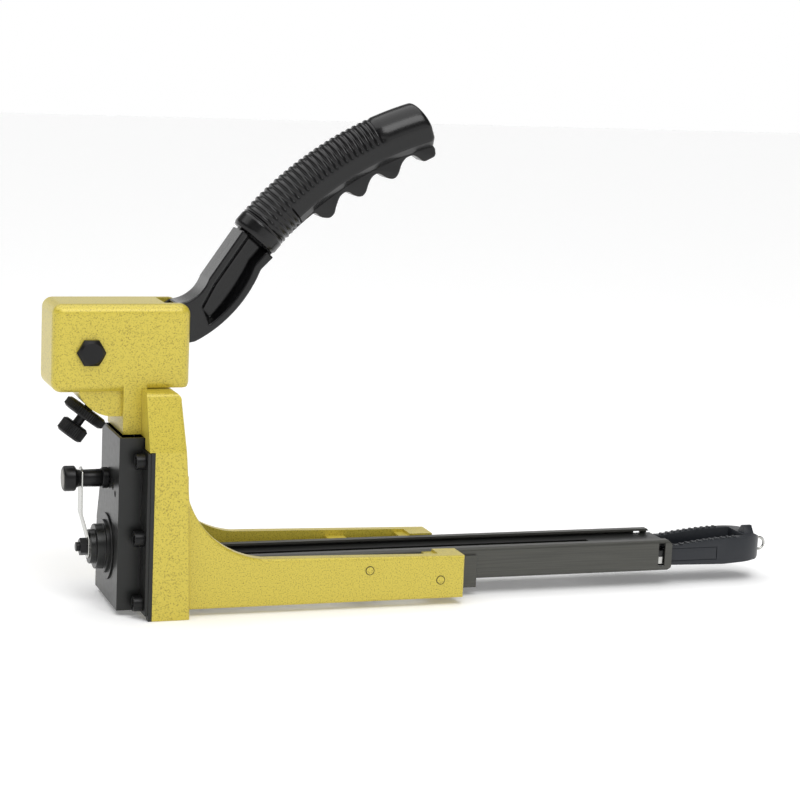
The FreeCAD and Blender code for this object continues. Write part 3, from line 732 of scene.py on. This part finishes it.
SOFT_EDGES = {
    "body_casting": 0.9, "head_housing": 0.7, "back_plate": 0.25, "nose_cover": 0.35,
    "pivot_bolt": 0.4, "pivot_nut": 0.4, "pivot_washer": 0.2, "eccentric_hub": 0.5, "hub_bearing": 0.3,
    "hub_stud": 0.4, "hub_nut": 0.3, "clincher_carrier": 0.3,
    "clincher_left": 0.3, "clincher_right": 0.3, "stop_stud": 0.4,
    "rail_left": 0.25, "rail_right": 0.25, "rail_clip_left": 0.3, "rail_clip_right": 0.3,
    "pusher": 0.3,
    "driver_block": 0.4, "driver_blade": 0.2, "drive_pin": 0.4,
    "head_screw_left": 0.35, "head_screw_right": 0.35, "claw_pin_left": 0.3, "claw_pin_right": 0.3,
}


def all_pieces():
    for node, width in SOFT_EDGES.items():
        softened(node, width)
    for node in frame["nodes"]:
        if node.startswith("cover_screw"):
            softened(node, 0.5)
    core = softened("staple_core", 0.2)
    # Painted shade: the core gets the dark black steel finish so that its top, seen between the rails, stands
    # in for the shade inside the channel.
    core.data.materials[0] = FINISHES["black_steel"]
    forged("lever_arm", 0.55, 6)
    grip()
    finger_ridge()
    knurled_knobs()
    index_knob()
    leaf_strap()
    arm_pins()
    tail()
    latches()
    feed_spring()
    for node, obj in frame["nodes"].items():
        if not obj.hide_render:
            obj.data.materials.clear()
            obj.data.materials.append(FINISHES[NODE_SLOT[node]])
            smooth(obj)


# ---- studio --------------------------------------------------------------------------------------

def floor():
    shape = bmesh.new()
    bmesh.ops.create_grid(shape, x_segments=1, y_segments=1, size=6.0)
    obj = from_bmesh("floor", shape)
    low = cad_box[0][2]
    obj.location = (0, 0, low - 0.0002)
    paper = Paint("floor_paper", (250, 250, 250), 0.9, specular=0.1)
    paper.set("Emission Color", (1.0, 1.0, 1.0, 1.0))
    paper.set("Emission Strength", 0.15)
    obj.data.materials.append(paper.material)


def backdrop():
    """White for the eye; as a light it is bright near the horizon and dim above."""
    world = bpy.data.worlds.new("studio")
    world.use_nodes = True
    nodes = world.node_tree.nodes
    links = world.node_tree.links
    height = nodes.new("ShaderNodeSeparateXYZ")
    links.new(nodes.new("ShaderNodeTexCoord").outputs["Generated"], height.inputs["Vector"])
    fall = nodes.new("ShaderNodeMapRange")
    fall.interpolation_type = "SMOOTHSTEP"
    fall.inputs["From Min"].default_value = 0.19
    fall.inputs["From Max"].default_value = 0.30
    fall.inputs["To Min"].default_value = 1.1
    fall.inputs["To Max"].default_value = 0.2
    links.new(height.outputs["Z"], fall.inputs["Value"])
    dim = nodes["Background"]
    dim.inputs["Color"].default_value = (1.0, 1.0, 1.0, 1.0)
    links.new(fall.outputs["Result"], dim.inputs["Strength"])
    white = nodes.new("ShaderNodeBackground")
    white.inputs["Color"].default_value = (1.0, 1.0, 1.0, 1.0)
    mix = nodes.new("ShaderNodeMixShader")
    links.new(nodes.new("ShaderNodeLightPath").outputs["Is Camera Ray"], mix.inputs["Fac"])
    links.new(dim.outputs["Background"], mix.inputs[1])
    links.new(white.outputs["Background"], mix.inputs[2])
    links.new(mix.outputs["Shader"], nodes["World Output"].inputs["Surface"])
    bpy.context.scene.world = world


def lamp(name, kind, energy):
    light = bpy.data.lights.new(name, kind)
    light.energy = energy
    obj = bpy.data.objects.new(name, light)
    bpy.context.scene.collection.objects.link(obj)
    return obj


def lights():
    """A soft box above the near side, hidden from the camera, and a broad sun overhead."""
    object_middle = Vector((0.12, 0.0, 0.15))
    key = lamp("key", "AREA", 12.0)
    key.data.shape = "RECTANGLE"
    key.data.size = 1.0
    key.data.size_y = 0.8
    key.location = (0.1, -1.1, 1.5)
    key.rotation_euler = (object_middle - key.location).to_track_quat("-Z", "Y").to_euler()
    key.visible_camera = False
    overhead = lamp("overhead", "SUN", 1.9)
    overhead.data.angle = math.radians(75)
    overhead.rotation_euler = (math.radians(-8), math.radians(-10), 0)


def camera():
    """The photograph's viewpoint, from its near side and a little in front and above."""
    right = Vector((0.94532, -0.32333, 0.04248))
    up = Vector((0.01507, 0.17344, 0.98472))
    back = Vector((-0.32576, -0.93025, 0.16884))
    lens = bpy.data.cameras.new("camera")
    lens.lens = 102.63
    lens.sensor_width = 36.0
    lens.clip_start = 0.05
    lens.clip_end = 50.0
    obj = bpy.data.objects.new("camera", lens)
    bpy.context.scene.collection.objects.link(obj)
    turn = Matrix((right, up, back)).transposed().to_4x4()
    obj.matrix_world = Matrix.Translation(Vector((-326.95, -1399.63, 382.99)) * MM) @ turn
    bpy.context.scene.camera = obj


all_pieces()
floor()
backdrop()
lights()
camera()
bpy.context.scene.view_settings.view_transform = "Standard"
